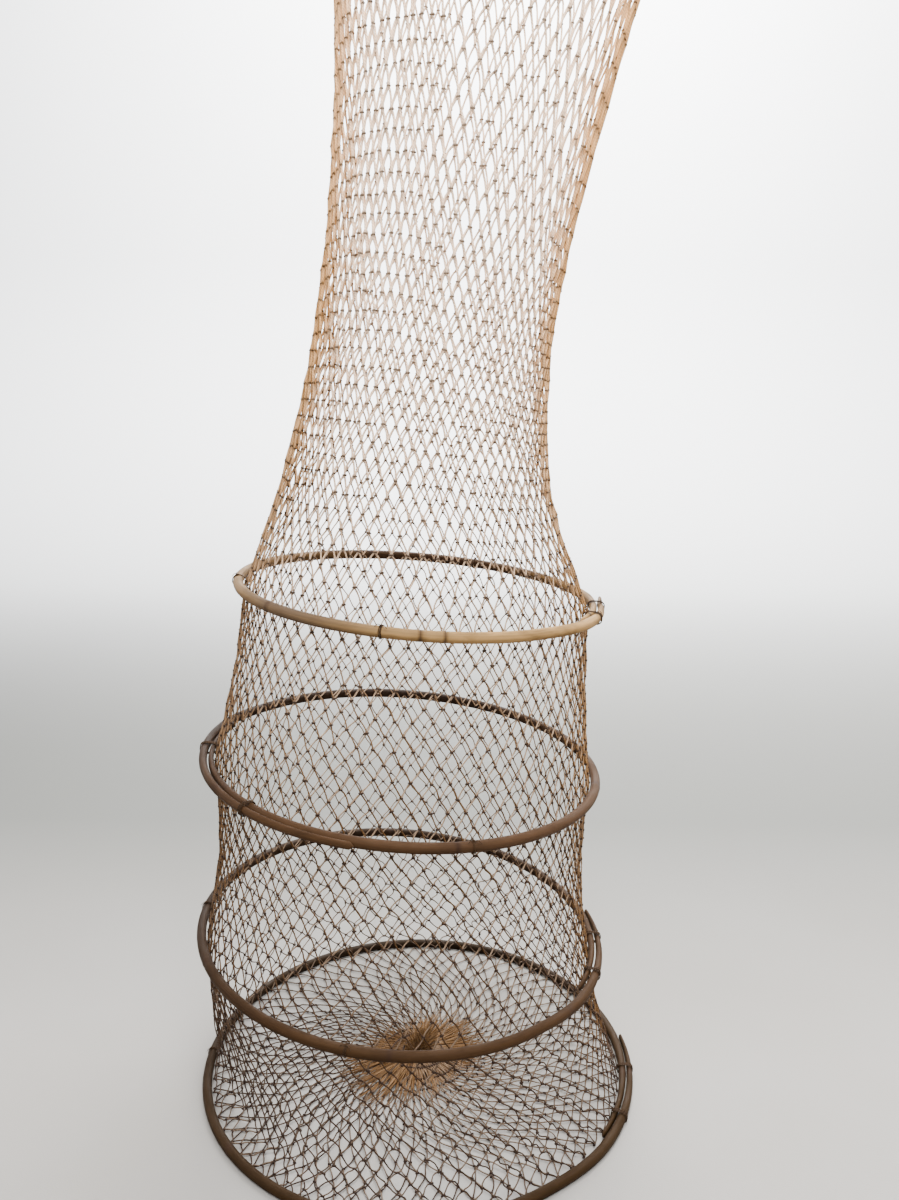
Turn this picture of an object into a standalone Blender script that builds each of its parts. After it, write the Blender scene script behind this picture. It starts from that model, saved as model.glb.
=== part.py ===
"""A hooped keep net: a tube of knotted netting, closed at the bottom, inside four bent bamboo hoops.

Metres, +Z up. The origin is on the floor at the middle of the bottom hoop, and -Y is the front.
The net hangs from its mouth. Each hoop's plane is square to its own axis, and the three hoops
that hang free lean together, so their planes and the mouth's are parallel.
"""
import math

import bpy
import bmesh
from mathutils import Matrix, Vector

# Rods and twine
ROD_RADIUS = 0.00425
ROD_TIP = 0.0016  # half the width of a rod at its shaved end
ROD_SIDES = 10
TURN_STEPS = 60
LEAD_STEPS = 4  # steps over which a rod swings outwards to pass its own inner end
LAP_GAP = 0.0004
TWINE = 0.0010
CLEAR = 0.0004
FLAT_DEPTH = 0.00385  # the bottom hoop's centre line over its worn flat underside
SEAT_DEPTH = 0.0026  # the same where twine has bitten into the rod
LASHING_LENGTH = 0.010
TIE_LENGTH = 0.004

# Netting
NET_INSET = 0.00605  # from a rod's centre line in to the netting's outer face
NET_THICKNESS = 0.0010
NET_SIDES = 40
HOOP_GAP = 0.0005  # between a hoop's plane and the end of a section of netting

# How the three hanging hoops lean: height gained along X and along Y
LEVEL = (0.0, 0.0)
LEAN = (-0.080, 0.036)

# Each hoop: radius and middle of its centre line, lean, where its inner end starts, how many
# steps its ends lap, how far its outer tip springs away, and the angles of its ties (degrees).
HOOPS = {
    "top": dict(
        radius=0.1407, middle=(0.0, 0.0, 0.4224), lean=LEAN, lap_start=-27, lap_steps=6,
        spring=0.004, ties=(70, 130, 190, 262), colour=(0.42, 0.30, 0.17),
    ),
    "middle": dict(
        radius=0.1575, middle=(-0.0110, 0.0, 0.2817), lean=LEAN, lap_start=165, lap_steps=16,
        spring=0.0, ties=(15, 80, 135, 290), colour=(0.20, 0.14, 0.10),
    ),
    "lower": dict(
        radius=0.1652, middle=(-0.0148, 0.0, 0.1307), lean=LEAN, lap_start=-27, lap_steps=7,
        spring=0.0, ties=(60, 120, 180, 260), colour=(0.13, 0.08, 0.05),
    ),
    "bottom": dict(
        radius=0.1800, middle=(0.0, 0.0, FLAT_DEPTH), lean=LEVEL, lap_start=-33, lap_steps=7,
        spring=0.0, ties=(55, 115, 180, 255), colour=(0.11, 0.08, 0.04),
    ),
}
LASHING_AT = (0.22, 0.66)  # along a lap
SPRING_FROM = 0.76  # how far along a lap its outer tip starts to spring away

# The netting between two hoops draws in by this much half way
WAISTS = {"upper_wall": 0.003, "middle_wall": 0.006, "lower_wall": 0.004}
WALL_ROWS = 4

# The sleeve over the top hoop: height over that hoop, radius and shift along X
SLEEVE = (
    (0.0000, 0.13465, 0.000),
    (0.0880, 0.1042, 0.000),
    (0.2000, 0.0897, 0.012),
    (0.3450, 0.0968, 0.035),
    (0.4916, 0.1170, 0.056),
)
SLEEVE_ROWS = 12
SELVEDGE_RADIUS = 0.0015

# The bottom: flat netting drawn together at the middle and bound
BOTTOM_LIFT = 0.0006
GATHER_RADIUS = 0.019
GATHER_NECK = 0.30
GATHER_PROFILE = (
    (1.0, 0.0006), (0.78, 0.0045), (GATHER_NECK, 0.0085), (GATHER_NECK, 0.0120), (0.38, 0.0170),
)
BINDING_HEIGHT = 0.0102
BINDING_TWINE = 0.0009
BINDING_RADIUS = GATHER_RADIUS * GATHER_NECK + CLEAR + BINDING_TWINE

NETTING_COLOUR = (0.23, 0.13, 0.07)
TWINE_COLOUR = (0.10, 0.06, 0.035)


def material(name, colour, roughness):
    made = bpy.data.materials.get(name)
    if made is None:
        made = bpy.data.materials.new(name)
        made.use_nodes = True
        surface = made.node_tree.nodes["Principled BSDF"]
        surface.inputs["Base Color"].default_value = (*colour, 1.0)
        surface.inputs["Roughness"].default_value = roughness
        surface.inputs["Metallic"].default_value = 0.0
    return made


def add_object(name, points, faces, finish):
    """A closed mesh from rings of points and faces, with its faces pointing out."""
    shape = bmesh.new()
    corners = [shape.verts.new(point) for point in points]
    for face in faces:
        shape.faces.new([corners[index] for index in face])
    bmesh.ops.recalc_face_normals(shape, faces=shape.faces)
    mesh = bpy.data.meshes.new(name)
    shape.to_mesh(mesh)
    shape.free()
    mesh.shade_smooth()
    mesh.set_sharp_from_angle(angle=math.radians(50))
    mesh.materials.append(finish)
    part = bpy.data.objects.new(name, mesh)
    bpy.context.collection.objects.link(part)
    return part


def tube_faces(rings, sides):
    """Quads that join each ring of points to the next."""
    faces = []
    for ring in range(rings - 1):
        for side in range(sides):
            a, b = ring * sides + side, ring * sides + (side + 1) % sides
            faces.append((a, b, b + sides, a + sides))
    return faces


def loop_faces(rings, sides):
    """The same, with the last ring joined back to the first."""
    faces = tube_faces(rings, sides)
    last = (rings - 1) * sides
    faces += [
        (last + side, last + (side + 1) % sides, (side + 1) % sides, side)
        for side in range(sides)
    ]
    return faces


def placed(middle, lean):
    """The frame of a hoop or a ring: its middle, and its axis square to its leaning plane."""
    axis = Vector((-lean[0], -lean[1], 1.0)).normalized()
    turn = Vector((0.0, 0.0, 1.0)).rotation_difference(axis)
    return Matrix.Translation(middle) @ turn.to_matrix().to_4x4()


def ring_point(frame, radius, angle, up):
    return frame @ Vector((radius * math.cos(angle), radius * math.sin(angle), up))


def mix(a, b, share):
    return a + (b - a) * share


def smooth(share):
    share = min(max(share, 0.0), 1.0)
    return share * share * (3.0 - 2.0 * share)


# Hoops


def rod_section(hoop, turn):
    """Half width, offset from the centre line and half height of a rod, turn radians from its inner tip."""
    lap = hoop["lap_steps"] * 2 * math.pi / TURN_STEPS
    lead = LEAD_STEPS * 2 * math.pi / TURN_STEPS
    if turn < lap:
        width = mix(ROD_TIP, ROD_RADIUS, turn / lap)
        offset = width - ROD_RADIUS
    elif turn <= 2 * math.pi:
        width = ROD_RADIUS
        passing = 2 * ROD_TIP + LAP_GAP
        offset = passing * smooth((turn - 2 * math.pi + lead) / lead)
    else:
        share = (turn - 2 * math.pi) / lap
        width = mix(ROD_RADIUS, ROD_TIP, share)
        inner = mix(ROD_TIP, ROD_RADIUS, share)
        offset = 2 * inner + LAP_GAP + width - ROD_RADIUS
        offset += hoop["spring"] * smooth((share - SPRING_FROM) / (1.0 - SPRING_FROM))
    height = ROD_RADIUS * mix(0.72, 1.0, (width - ROD_TIP) / (ROD_RADIUS - ROD_TIP))
    return width, offset, height


def wrap_places(hoop):
    """(angle, half length as an angle, lapped) of each lashing and tie on a hoop."""
    start = math.radians(hoop["lap_start"])
    lap = hoop["lap_steps"] * 2 * math.pi / TURN_STEPS
    half = 0.5 / hoop["radius"]
    places = [(start + lap * share, LASHING_LENGTH * half, True) for share in LASHING_AT]
    places += [(math.radians(angle), TIE_LENGTH * half, False) for angle in hoop["ties"]]
    return places


def rod_turns(hoop, bites):
    """The turns from the inner tip at which a rod has a ring of points."""
    lap = hoop["lap_steps"] * 2 * math.pi / TURN_STEPS
    turns = [step * 2 * math.pi / TURN_STEPS for step in range(TURN_STEPS + hoop["lap_steps"] + 1)]
    for low, high in bites:
        for turn in (low, high):
            turns = [t for t in turns if min(abs(t - turn), abs(t - turn - 2 * math.pi)) > 0.012]
            for edge in (turn - 0.002, turn + 0.002):
                turns += [t for t in (edge, edge + 2 * math.pi) if t < 2 * math.pi + lap]
    return sorted(turns)


def rod(name, hoop, flat):
    """A bent rod whose shaved ends lie side by side. flat gives it a worn underside to rest on."""
    frame = placed(hoop["middle"], hoop["lean"])
    start = math.radians(hoop["lap_start"])
    bites = []
    if flat:
        margin = CLEAR / hoop["radius"]
        for angle, half, _ in wrap_places(hoop):
            middle = (angle - start) % (2 * math.pi)
            bites.append((middle - half - margin, middle + half + margin))
    turns = rod_turns(hoop, bites)
    points = []
    for turn in turns:
        width, offset, height = rod_section(hoop, turn)
        bitten = any(low < turn % (2 * math.pi) < high for low, high in bites)
        lowest = -math.inf
        if flat:
            lowest = -SEAT_DEPTH if bitten else -FLAT_DEPTH
        for side in range(ROD_SIDES):
            around = 2 * math.pi * side / ROD_SIDES
            radius = hoop["radius"] + offset + width * math.cos(around)
            up = max(height * math.sin(around), lowest)
            points.append(ring_point(frame, radius, start + turn, up))
    faces = tube_faces(len(turns), ROD_SIDES)
    last = (len(turns) - 1) * ROD_SIDES
    faces.append(tuple(range(ROD_SIDES)))
    faces.append(tuple(range(last, last + ROD_SIDES)))
    return add_object(name, points, faces, material("bamboo_" + name, hoop["colour"], 0.5))


def wrap(name, hoop, place, flat):
    """A band of twine round a rod, or round both rods of a lap."""
    angle, half, lapped = place
    frame = placed(hoop["middle"], hoop["lean"])
    width, offset, fullness = ROD_RADIUS, 0.0, 1.0
    if lapped:
        width = ROD_RADIUS + ROD_TIP + LAP_GAP / 2
        offset = width - ROD_RADIUS
        fullness = 0.62
    rings = ((CLEAR, -half), (CLEAR + TWINE, -half), (CLEAR + TWINE, half), (CLEAR, half))
    points = []
    for grow, along in rings:
        lowest = -math.inf
        if flat:
            lowest = -SEAT_DEPTH - CLEAR if grow == CLEAR else -FLAT_DEPTH
        for side in range(ROD_SIDES):
            around = 2 * math.pi * side / ROD_SIDES
            across = math.copysign(abs(math.cos(around)) ** fullness, math.cos(around))
            over = math.copysign(abs(math.sin(around)) ** fullness, math.sin(around))
            radius = hoop["radius"] + offset + (width + grow) * across
            up = max((ROD_RADIUS + grow) * over, lowest)
            points.append(ring_point(frame, radius, angle + along, up))
    return add_object(name, points, loop_faces(4, ROD_SIDES), material("twine", TWINE_COLOUR, 0.9))


# Netting


def shell(name, rings):
    """A thin-walled tube through rings of (middle, lean, outer radius), open at both ends."""
    points = []
    for inset in (0.0, NET_THICKNESS):
        ordered = rings if inset == 0.0 else rings[::-1]
        for middle, lean, radius in ordered:
            frame = placed(middle, lean)
            for side in range(NET_SIDES):
                angle = 2 * math.pi * side / NET_SIDES
                points.append(ring_point(frame, radius - inset, angle, 0.0))
    faces = loop_faces(2 * len(rings), NET_SIDES)
    return add_object(name, points, faces, material("netting", NETTING_COLOUR, 0.85))


def wall(name, above, below, waist):
    """The netting from one hoop down to the next."""
    top, low = Vector(above["middle"]), Vector(below["middle"])
    if below["lean"] == LEVEL:
        low.z += BOTTOM_LIFT + NET_THICKNESS + HOOP_GAP - FLAT_DEPTH
    margin = HOOP_GAP / (top - low).length
    rings = []
    for row in range(WALL_ROWS + 1):
        share = mix(margin, 1.0 - margin, row / WALL_ROWS)
        lean = tuple(mix(a, b, share) for a, b in zip(above["lean"], below["lean"]))
        radius = mix(above["radius"], below["radius"], share) - NET_INSET
        rings.append((top.lerp(low, share), lean, radius - waist * math.sin(math.pi * share)))
    return shell(name, rings)


def sleeve_ring(height):
    """Radius and shift of the sleeve at a height over the top hoop, on a smooth curve."""
    spans = len(SLEEVE) - 1
    slopes = []
    for index in range(len(SLEEVE)):
        before, after = SLEEVE[max(index - 1, 0)], SLEEVE[min(index + 1, spans)]
        slopes.append([(after[k] - before[k]) / (after[0] - before[0]) for k in (1, 2)])
    span = max(k for k in range(spans) if height >= SLEEVE[k][0] or k == 0)
    low, high = SLEEVE[span], SLEEVE[span + 1]
    length = high[0] - low[0]
    t = (height - low[0]) / length
    values = []
    for k in (0, 1):
        start, end = low[k + 1], high[k + 1]
        values.append(
            (2 * t**3 - 3 * t**2 + 1) * start
            + (t**3 - 2 * t**2 + t) * length * slopes[span][k]
            + (3 * t**2 - 2 * t**3) * end
            + (t**3 - t**2) * length * slopes[span + 1][k]
        )
    return values


def sleeve(name):
    """The long neck of netting from the top hoop up to the mouth."""
    top = HOOPS["top"]
    length = SLEEVE[-1][0]
    rings = []
    for row in range(SLEEVE_ROWS + 1):
        height = mix(HOOP_GAP, length - HOOP_GAP, row / SLEEVE_ROWS)
        radius, shift = sleeve_ring(height)
        middle = Vector(top["middle"]) + Vector((shift, 0.0, height))
        rings.append((middle, top["lean"], radius))
    return shell(name, rings)


def torus(name, middle, lean, radius, thickness, sides, finish):
    frame = placed(middle, lean)
    points = []
    for side in range(sides):
        angle = 2 * math.pi * side / sides
        for step in range(8):
            around = 2 * math.pi * step / 8
            reach = radius + thickness * math.cos(around)
            points.append(ring_point(frame, reach, angle, thickness * math.sin(around)))
    return add_object(name, points, loop_faces(sides, 8), finish)


def selvedge(name):
    """The doubled twine that edges the mouth."""
    length, radius, shift = SLEEVE[-1]
    lift = SELVEDGE_RADIUS + CLEAR
    middle = Vector(HOOPS["top"]["middle"]) + Vector((shift, 0.0, length + lift))
    finish = material("twine", TWINE_COLOUR, 0.9)
    reach = radius - NET_THICKNESS / 2
    return torus(name, middle, LEAN, reach, SELVEDGE_RADIUS, NET_SIDES, finish)


def bottom_netting(name):
    """The flat bottom, from the hoop in to the gather, as a thin ring lying just off the floor."""
    outer = HOOPS["bottom"]["radius"] - NET_INSET
    inner = GATHER_RADIUS + CLEAR
    radii = [outer, mix(outer, inner, 0.5), inner]
    points = []
    for top, ordered in ((False, radii), (True, radii[::-1])):
        up = BOTTOM_LIFT + (NET_THICKNESS if top else 0.0)
        for radius in ordered:
            for side in range(NET_SIDES):
                angle = 2 * math.pi * side / NET_SIDES
                points.append((radius * math.cos(angle), radius * math.sin(angle), up))
    faces = loop_faces(2 * len(radii), NET_SIDES)
    return add_object(name, points, faces, material("netting", NETTING_COLOUR, 0.85))


def gather(name):
    """The meshes drawn together at the middle of the bottom: a low mound with a bound tuft."""
    sides = 16
    points = []
    for share, up in GATHER_PROFILE:
        for side in range(sides):
            angle = 2 * math.pi * side / sides
            reach = GATHER_RADIUS * share
            points.append((reach * math.cos(angle), reach * math.sin(angle), up))
    faces = tube_faces(len(GATHER_PROFILE), sides)
    last = (len(GATHER_PROFILE) - 1) * sides
    faces.append(tuple(range(sides)))
    faces.append(tuple(range(last, last + sides)))
    return add_object(name, points, faces, material("netting", NETTING_COLOUR, 0.85))


def build():
    for old in list(bpy.data.objects):
        bpy.data.objects.remove(old, do_unlink=True)
    for name, hoop in HOOPS.items():
        flat = name == "bottom"
        rod(name + "_hoop_rod", hoop, flat)
        for number, place in enumerate(wrap_places(hoop), start=1):
            lashings = len(LASHING_AT)
            if number <= lashings:
                label = f"{name}_hoop_lashing_{number}"
            else:
                label = f"{name}_hoop_net_tie_{number - lashings}"
            wrap(label, hoop, place, flat)
    wall("upper_wall_netting", HOOPS["top"], HOOPS["middle"], WAISTS["upper_wall"])
    wall("middle_wall_netting", HOOPS["middle"], HOOPS["lower"], WAISTS["middle_wall"])
    wall("lower_wall_netting", HOOPS["lower"], HOOPS["bottom"], WAISTS["lower_wall"])
    sleeve("sleeve_netting")
    selvedge("mouth_selvedge")
    bottom_netting("bottom_netting")
    gather("bottom_gather")
    binding = (0.0, 0.0, BINDING_HEIGHT)
    finish = material("twine", TWINE_COLOUR, 0.9)
    torus("gather_binding", binding, LEVEL, BINDING_RADIUS, BINDING_TWINE, 16, finish)


build()
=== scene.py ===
"""Looks for a hooped keep net: bamboo rods, wound twine and hand-knotted netting on the CAD frame.

Metres, +Z up, in the CAD frame: the origin is on the floor at the middle of the bottom hoop and
-Y is the front. The hoops' and the netting's sizes are the CAD part's own.
"""
import math

import bpy
import numpy as np
from mathutils import Matrix, Vector


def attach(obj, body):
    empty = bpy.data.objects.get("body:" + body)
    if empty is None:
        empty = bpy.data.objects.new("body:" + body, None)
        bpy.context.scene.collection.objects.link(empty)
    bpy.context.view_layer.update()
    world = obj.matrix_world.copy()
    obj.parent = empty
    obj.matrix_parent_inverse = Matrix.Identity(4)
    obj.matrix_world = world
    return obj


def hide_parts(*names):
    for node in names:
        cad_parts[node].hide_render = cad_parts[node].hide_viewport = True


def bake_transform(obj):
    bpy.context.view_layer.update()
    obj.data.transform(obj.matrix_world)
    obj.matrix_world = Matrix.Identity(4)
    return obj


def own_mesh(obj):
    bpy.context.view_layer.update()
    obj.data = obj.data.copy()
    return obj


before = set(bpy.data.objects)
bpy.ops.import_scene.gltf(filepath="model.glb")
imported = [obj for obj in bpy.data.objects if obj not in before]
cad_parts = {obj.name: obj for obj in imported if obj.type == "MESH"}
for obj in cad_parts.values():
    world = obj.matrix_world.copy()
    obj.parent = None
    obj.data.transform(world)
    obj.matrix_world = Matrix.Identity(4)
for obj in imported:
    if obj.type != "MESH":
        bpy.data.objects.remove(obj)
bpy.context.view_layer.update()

RANDOM = np.random.default_rng(20)

# The CAD part's own sizes
ROD_RADIUS = 0.00425
ROD_TIP = 0.0016  # half the width of a rod's shaved end
TURN_STEPS = 60  # the CAD rod's steps in a full turn
LEAD_STEPS = 4  # over this many of them a rod moves out to pass its own inner end
LAP_GAP = 0.0004  # between the two rods of a lap
TWINE = 0.0006  # width of the binding twine
CLEAR = 0.0004  # how far bindings stand off what they bind
FLAT_DEPTH = 0.00385  # height of the bottom rod's centre line over its flat underside
LASHING_TURNS = 6
TIE_TURNS = 3
LASHING_AT = (0.22, 0.66)  # as shares of a lap
SPRING_FROM = 0.76  # the share of a lap from which its free tip springs out
NET_INSET = 0.0050  # from a rod's centre line in to the netting, which touches the rod
LEVEL = (0.0, 0.0)
LEAN = (-0.080, 0.036)  # rise along x and along y, of the upper three hoops
HOOPS = {  # angles in degrees from +X
    "top": dict(
        radius=0.1407, middle=(0.0, 0.0, 0.4224), lean=LEAN, lap_start=-27, lap_steps=6,
        spring=0.004, ties=(70, 130, 190, 262), nodes=(-136, -88, -81.5, -20, 48, 110, 168),
    ),
    "middle": dict(
        radius=0.1575, middle=(-0.0110, 0.0, 0.2817), lean=LEAN, lap_start=165, lap_steps=16,
        spring=0.0, ties=(15, 80, 135, 290), nodes=(-75, -12, 40, 105, 168, 215),
    ),
    "lower": dict(
        radius=0.1652, middle=(-0.0148, 0.0, 0.1307), lean=LEAN, lap_start=-27, lap_steps=7,
        spring=0.0, ties=(60, 120, 180, 260), nodes=(-90, -38, 28, 96, 150, 208),
    ),
    "bottom": dict(
        radius=0.1800, middle=(0.0, 0.0, FLAT_DEPTH), lean=LEVEL, lap_start=-33, lap_steps=7,
        spring=0.0, ties=(55, 115, 180, 255), nodes=(-70, -8, 44, 101, 157, 219),
    ),
}
SLEEVE = (  # height over the top hoop, radius, and shift along x
    (0.0000, 0.13465, 0.000),
    (0.0880, 0.1042, 0.000),
    (0.2000, 0.0897, 0.012),
    (0.3450, 0.0968, 0.035),
    (0.4916, 0.1170, 0.056),
)
SELVEDGE_RADIUS = 0.0015
BOTTOM_Z = 0.0016  # height of the bottom netting's middle
GATHER_RADIUS = 0.019

# Rods. Heights and depths on them are shares of the rod's radius
ROD_STEPS = 420
ROD_SIDES = 20
ROD_SIZE = 0.955  # the visible rod's mean radius against the CAD part's
ROD_WAVE = 0.02  # how far its radius wanders
RIDGE, RIDGE_SPREAD = 0.055, 0.0016  # at each node
GROOVE, GROOVE_AT, GROOVE_SPREAD = 0.05, 0.0026, 0.0009  # and beside it
SCORCH_AT, SCORCH_SPREAD = 0.0020, 0.0012  # the dark line between them
FLATTENED = 0.10  # how far a rod's inner face is cut back
TIP_ROUND = 0.003  # over this length a rod's end rounds off
TIP_HEIGHT = 0.72  # the half height of a shaved end
# The back half's darkening is painted shade on the side away from the light.
TONES = {  # paleness, how much darker the back is, and patches: degrees, spread, darker by, greyer by
    # The darker patches near 180 to 200 degrees, at the hoops' left ends, are painted shade.
    "top": (0.84, 0.90, ((-126, 0.50, 0.66, 0.75), (180, 0.45, 0.32, 0.35), (0, 0.25, 0.30, 0.60))),
    "middle": (0.66, 0.70, ((180, 0.7, 0.42, 0.0), (-30, 0.9, 0.0, 0.50))),
    "lower": (0.60, 0.60, ((190, 0.8, 0.38, 0.0), (-60, 0.9, 0.0, 0.35))),
    "bottom": (0.50, 0.60, ((200, 0.9, 0.15, 0.0), (-20, 0.9, 0.0, 0.30))),
}

# Bindings
SNUG = 0.0001  # how far their twine stands off the CAD rod, which the visible rod is inside
WRAP_STEPS = 24  # steps in each turn
WRAP_SIDES = 7
SQUARED = 0.62  # below 1, a lashing's turns are squarer than an ellipse
NET_HOLD = 0.0012  # how far a tie reaches in, round the netting
KNOT_LIFT = 0.86  # a wrap's knot sits at this share of the rod's radius, over its middle
KNOT_LOOP = (0.0011, 0.0008, 0.0006)  # size of its two loops across, along and up
LASHING_END = 0.0036  # length of the cut ends
TIE_END = 0.0044

# Netting
MESHES = 68  # meshes round the tube
STRAND = 0.00056  # radius of the netting twine
WORN = 1.55  # how much wider the sleeve's twine is, where it has worn fluffy
ROWS = {"sleeve": 39, "upper_wall": 14, "middle_wall": 15, "lower_wall": 15, "bottom": 14}
SLEEVE_INSET = 0.0005  # from the CAD sleeve's outside in to the knots
SLEEVE_LOOSE = (0.0012, 0.0010)  # how far knots stray outwards and up
WALL_LOOSE = (0.0009, 0.0014)  # and in the walls
ROW_TIGHTENING = 0.07  # how much closer than the mean the sleeve's lowest rows lie
SAG = 0.072  # how far the sleeve's upper rows drop across its front, from left to right
SAG_FROM = math.radians(248)  # where round the net the drop starts
SAG_FALL = 1.6  # radians over which they drop
SAG_HOLD = 0.5  # radians over which they then stay down
SAG_CREASE = 0.004  # how far in the netting is drawn where the drop starts
BELLY = 0.014  # how far the lowest tier bellies out
FOLD_REACH = 0.017  # how far inside its line the fold lies on the floor
FOLD_AT = 0.78  # the share of the lowest tier that reaches the floor at its fold
WAISTS = {"upper_wall": 0.003, "middle_wall": 0.006, "lower_wall": 0.004}  # how far each draws in
BAR_AT = (0.0, 0.22, 0.5, 0.78, 1.0)  # where along a strand its rings are
BAR_STEPS = len(BAR_AT)
BAR_SIDES = 5
CELL_MARGIN = 0.06  # round each tube's strip in the UV map, as a share of its cell
BAR_WIDTHS = (1.10, 1.0, 0.92, 1.0, 1.10)  # at those rings, as shares of the twine's
BAR_SHADE = (0.75, 0.30, 0.0, 0.0, 0.45)  # how dark a strand is near its knots
KNOT_STEPS = 9
KNOT_RADIUS = 0.00058  # of the twine that a knot is wound from
KNOT_REACH = 0.00115  # from a knot's middle to its collar, to the sides
KNOT_DEPTH = 0.00055  # and outwards
KNOT_RISE = 0.0006  # how far the collar's loops go up and down
GATHER_STRANDS = 1000
GATHER_STEPS = 12
NECK = (0.0, 0.0, 0.0102)  # where the gather is bound
NECK_TURNS = 3
NECK_PITCH = 0.0009
NECK_TWINE = 0.0005  # radius
SELVEDGE_STEPS = 900
PLY_TWISTS = 60  # twists of the mouth's edge round the mouth
PLY_APART = 0.00065  # from the edge's centre line to the middle of each of its two plies
PLY_RADIUS = 0.0007

# How the netting runs with height: heights, then values at them
TUBE_SHIFT = ((0.0, 0.42, 0.55, 0.92), (-0.008, 0.0, 0.006, 0.056))
TUBE_HALF_WIDTH = (
    (0.0, 0.13, 0.42, 0.51, 0.62, 0.77, 0.92),
    (0.18, 0.165, 0.14, 0.104, 0.09, 0.097, 0.117),
)
# Paleness with height: partly the twine's own bleaching, partly painted light near the mouth and painted
# shade low in the net.
BLEACHED_AND_LIT = ((0.0, 0.12, 0.30, 0.42, 0.56, 0.72), (0.03, 0.04, 0.12, 0.28, 0.82, 1.0))
# The far side's strands are paler by this contrast, as painted light.
CONTRAST = ((0.0, 0.13, 0.30, 0.42, 0.60), (0.06, 0.08, 0.14, 0.15, 0.05))  # between its strands

# Studio
LENS = 28.47
EYE = (0.0252, -0.7484, 0.5592)
PITCH = 11.0  # degrees down
ROLL = 0.5  # degrees
SKY = 1.5  # the even light from all round
WALL_AT = 2.2  # where the floor starts to curve up into the wall
WALL_CURVE = 1.2
LAMPS = (  # name, place, aim, size, power
    ("overhead", (0.3, 0.9, 2.4), (0.0, 0.0, 0.4), 1.6, 75.0),
    ("left", (-1.9, 0.3, 1.3), (0.0, 0.0, 0.4), 1.2, 20.0),
    ("right", (1.9, 0.5, 1.3), (0.0, 0.0, 0.4), 1.2, 30.0),
    ("front", (0.1, -0.8, 1.45), (0.03, 0.0, 0.8), 0.5, 36.0),
    ("wall", (0.4, 1.6, 3.2), (0.3, 3.4, 1.2), 2.0, 760.0),
)


def mix(a, b, share):
    return a + (b - a) * share


def smooth(share):
    share = np.clip(share, 0.0, 1.0)
    return share * share * (3.0 - 2.0 * share)


def hump(away, spread):
    """A smooth hump of height 1 where away is 0."""
    return np.exp(-((away / spread) ** 2))


def turned_from(middle, angle):
    """How far an angle is past a middle one, from minus to plus half a turn."""
    return (angle - middle + math.pi) % (2 * math.pi) - math.pi


def bump_at(angle, middle, spread):
    """A hump round an angle, all in radians, that wraps at a full turn."""
    return hump(turned_from(middle, angle), spread)


def step_at(angle, middle, spread):
    """Rises from 0 to 1 over spread to each side of an angle, for angles from 0 to a full turn."""
    return smooth((angle - middle) / (2 * spread) + 0.5)


def placed(middle, lean):
    """The placing of a ring at middle that rises by lean along x and along y."""
    axis = Vector((-lean[0], -lean[1], 1.0)).normalized()
    turn = Vector((0.0, 0.0, 1.0)).rotation_difference(axis)
    return Matrix.Translation(middle) @ turn.to_matrix().to_4x4()


def ring_points(place, radius, angle, up):
    """Points at angles round a leaning ring. Radius, angle and up are numbers or arrays."""
    radius, angle, up = np.broadcast_arrays(radius, angle, up)
    local = np.stack([radius * np.cos(angle), radius * np.sin(angle), up], axis=-1)
    turn = np.array(place.to_3x3())
    return local @ turn.T + np.array(place.translation)


def unit(vectors):
    return vectors / np.maximum(np.linalg.norm(vectors, axis=-1, keepdims=True), 1e-12)


# Meshes


def add_mesh(name, points, quads, finish, tones, grain, tube_quads=0):
    """A smooth mesh of quads. tones and grain are what its material reads at each point."""
    mesh = bpy.data.meshes.new(name)
    mesh.vertices.add(len(points))
    mesh.vertices.foreach_set("co", points.astype(np.float32).ravel())
    mesh.loops.add(quads.size)
    mesh.loops.foreach_set("vertex_index", quads.astype(np.int32).ravel())
    mesh.polygons.add(len(quads))
    mesh.polygons.foreach_set("loop_start", np.arange(0, quads.size, 4, dtype=np.int32))
    mesh.update(calc_edges=True)
    mesh.shade_smooth()
    for label, values in (("tones", tones), ("grain", grain)):
        attribute = mesh.attributes.new(label, "FLOAT_VECTOR", "POINT")
        attribute.data.foreach_set("vector", values.astype(np.float32).ravel())
    mesh.materials.append(finish)
    if tube_quads:
        strips = mesh.uv_layers.new(name="OFBake")
        strips.uv.foreach_set("vector", strip_map(len(quads), tube_quads).astype(np.float32).ravel())
    piece = bpy.data.objects.new(name, mesh)
    bpy.context.scene.collection.objects.link(piece)
    return piece


def strip_map(count, tube_quads):
    """A UV map that lays the tubes' strips of faces side by side, each in a cell of its own."""
    face = np.arange(count)
    cells = -(-count // tube_quads)
    columns = math.ceil(math.sqrt(cells * 2.0))
    rows = -(-cells // columns)
    tube, inside = face // tube_quads, face % tube_quads
    ring, side = inside // BAR_SIDES, inside % BAR_SIDES
    rings = tube_quads // BAR_SIDES
    corners = []
    kept = 1.0 - 2 * CELL_MARGIN
    for across, along in ((0, 0), (1, 0), (1, 1), (0, 1)):
        u = (tube % columns + CELL_MARGIN + kept * (side + across) / BAR_SIDES) / columns
        v = (tube // columns + CELL_MARGIN + kept * (ring + along) / rings) / rows
        corners.append(np.stack([u, v], axis=-1))
    return np.stack(corners, axis=1)


def ring_quads(steps, sides):
    """The faces between rings of points, ring after ring."""
    ring, side = np.meshgrid(np.arange(steps - 1), np.arange(sides), indexing="ij")
    a = (ring * sides + side).ravel()
    b = (ring * sides + (side + 1) % sides).ravel()
    return np.stack([a, b, b + sides, a + sides], axis=-1)


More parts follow.
